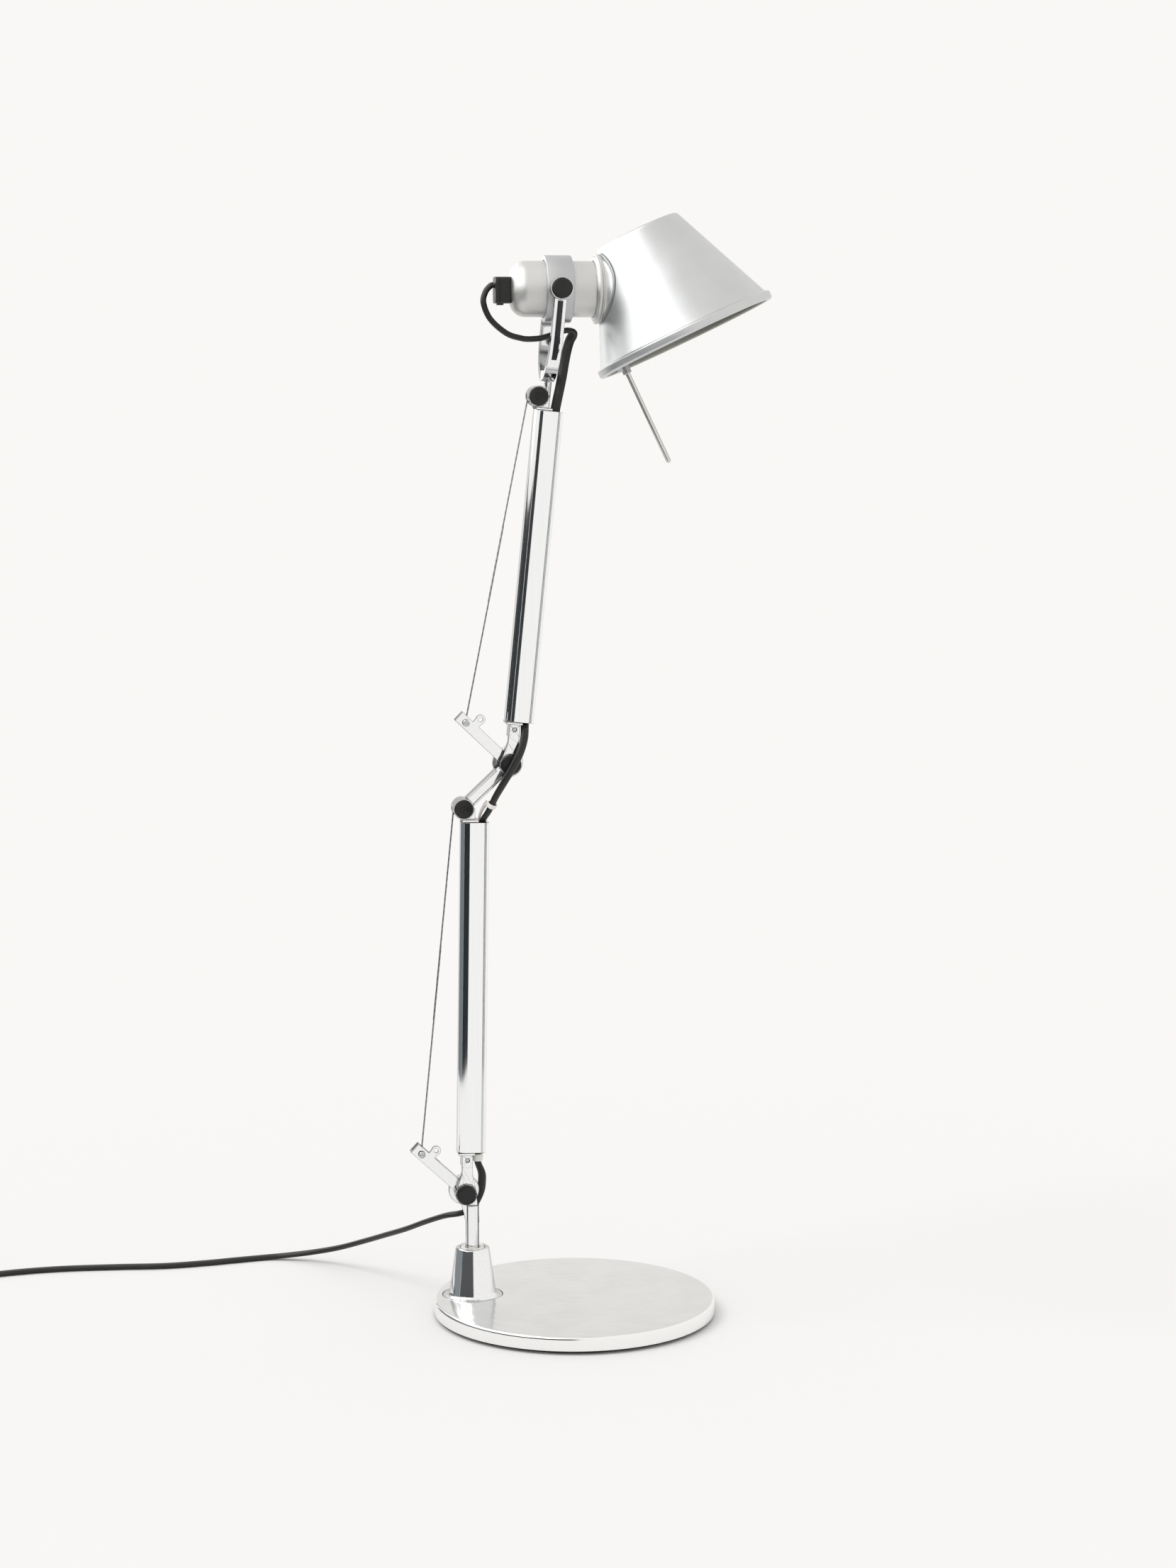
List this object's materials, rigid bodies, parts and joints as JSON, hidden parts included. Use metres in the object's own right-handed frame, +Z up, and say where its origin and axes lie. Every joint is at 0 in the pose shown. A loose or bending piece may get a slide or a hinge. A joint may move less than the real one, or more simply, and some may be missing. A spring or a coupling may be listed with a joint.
{
  "type": "desk lamp",
  "caption": "Architect desk lamp: round weighted base, swivelling stem, two spring balanced aluminium arms, fork and a turning conical metal shade with a handle rod",
  "frame": {"origin": "centre of the underside of the round base, on the surface it stands on", "axes": "+Z up; +X from the stem towards the lamp head, along the arm plane; -Y is the front"},
  "size_m": [0.5923, 0.2515, 0.6601],
  "materials": {
    "polished_aluminium": "polished, mirror bright",
    "satin_aluminium": "satin anodised, fine matt",
    "steel": "bright drawn steel",
    "cast_iron": "as cast, painted",
    "felt": "pressed felt",
    "black_plastic": "moulded, satin",
    "clear_plastic": "moulded, translucent",
    "cord_sheath": "extruded PVC, satin",
    "bulb_glass": "opal coated"
  },
  "bodies": {
    "base": {"base_pad": "felt", "base_weight": "cast_iron", "base_cover": "polished_aluminium", "socket_bolt": "steel", "cone_socket": "polished_aluminium", "swivel_bush": "clear_plastic", "mains_cord": "cord_sheath", "cord_coil": "cord_sheath", "plug": "black_plastic"},
    "stem": {"stem": "polished_aluminium", "lower_pivot_axle": "steel", "lower_tension_knob": "polished_aluminium", "lower_wire_pin": "steel"},
    "lower_wire": {"lower_wire_strand": "steel"},
    "lower_arm": {"lower_foot": "polished_aluminium", "lower_pivot_cap": "black_plastic", "lower_grub_screw": "steel", "lower_tube": "polished_aluminium", "lower_spring": "steel", "lower_pulley": "steel", "lower_pulley_pin": "steel", "lower_pulley_cap": "black_plastic", "lower_wire_tail": "steel", "lower_head": "polished_aluminium", "lower_cord_clip": "clear_plastic", "upper_pivot_axle": "steel", "upper_tension_knob": "polished_aluminium", "upper_wire_pin": "steel", "lower_tube_cord": "cord_sheath", "lower_cord": "cord_sheath"},
    "upper_wire": {"upper_wire_strand": "steel"},
    "upper_arm": {"upper_foot": "polished_aluminium", "upper_pivot_cap": "black_plastic", "upper_grub_screw": "steel", "upper_tube": "polished_aluminium", "upper_spring": "steel", "upper_pulley": "steel", "upper_pulley_pin": "steel", "upper_pulley_cap": "black_plastic", "upper_wire_tail": "steel", "upper_head": "polished_aluminium", "upper_tube_cord": "cord_sheath", "mid_cord": "cord_sheath", "neck_cord": "cord_sheath"},
    "fork": {"fork": "polished_aluminium", "fork_swivel_pin": "steel", "fork_cap_front": "black_plastic", "fork_cap_rear": "black_plastic", "fork_cord": "cord_sheath"},
    "ring": {"head_ring": "satin_aluminium"},
    "head": {"lamp_housing": "satin_aluminium", "lampholder": "black_plastic", "bulb": "bulb_glass", "shade_collar": "satin_aluminium", "shade": "satin_aluminium", "handle_socket": "satin_aluminium", "handle_rod": "steel", "switch_body": "black_plastic", "head_cord": "cord_sheath"},
    "switch": {"switch_slider": "black_plastic"}
  },
  "joints": [
    {"name": "stem_swivel", "type": "hinge", "parent": "base", "child": "stem", "pos_m": [-0.0606, 0.0136, 0.03], "axis": [0, 0, 1], "range_deg": [-150, 150], "deforming": ["mains_cord"]},
    {"name": "lower_arm_tilt", "type": "hinge", "parent": "stem", "child": "lower_arm", "pos_m": [-0.065, 0.0136, 0.0747], "axis": [0, 1, 0], "range_deg": [-15, 70], "deforming": ["lower_cord", "lower_spring"]},
    {"name": "lower_wire_swing", "type": "hinge", "parent": "stem", "child": "lower_wire", "pos_m": [-0.09133, 0.0136, 0.09925], "axis": [0, 1, 0], "range_deg": [-15, 70]},
    {"name": "upper_arm_tilt", "type": "hinge", "parent": "lower_arm", "child": "upper_arm", "pos_m": [-0.03729, 0.0136, 0.3356], "axis": [0, 1, 0], "range_deg": [-15, 70], "deforming": ["mid_cord", "upper_spring"]},
    {"name": "upper_wire_swing", "type": "hinge", "parent": "lower_arm", "child": "upper_wire", "pos_m": [-0.06324, 0.0136, 0.36056], "axis": [0, 1, 0], "range_deg": [-15, 70]},
    {"name": "fork_swivel", "type": "hinge", "parent": "upper_arm", "child": "fork", "pos_m": [-0.01398, 0.0136, 0.56191], "axis": [0.0981, 0, 0.9952], "range_deg": [-90, 90], "deforming": ["neck_cord"]},
    {"name": "head_tilt", "type": "hinge", "parent": "fork", "child": "ring", "pos_m": [-0.00869, 0.0136, 0.61555], "axis": [0, 1, 0], "range_deg": [-45, 10], "deforming": ["fork_cord"]},
    {"name": "shade_spin", "type": "hinge", "parent": "ring", "child": "head", "pos_m": [-0.00869, 0.0136, 0.61555], "axis": [1, 0, 0], "range_deg": [-120, 120], "deforming": ["head_cord"]},
    {"name": "switch_slide", "type": "slide", "parent": "head", "child": "switch", "axis": [1, 0, 0], "range_m": [0, 0.0026]}
  ],
  "couplings": [
    {"joint": "lower_wire_swing", "follows": "lower_arm_tilt", "ratio": 1},
    {"joint": "upper_wire_swing", "follows": "upper_arm_tilt", "ratio": 1}
  ]
}
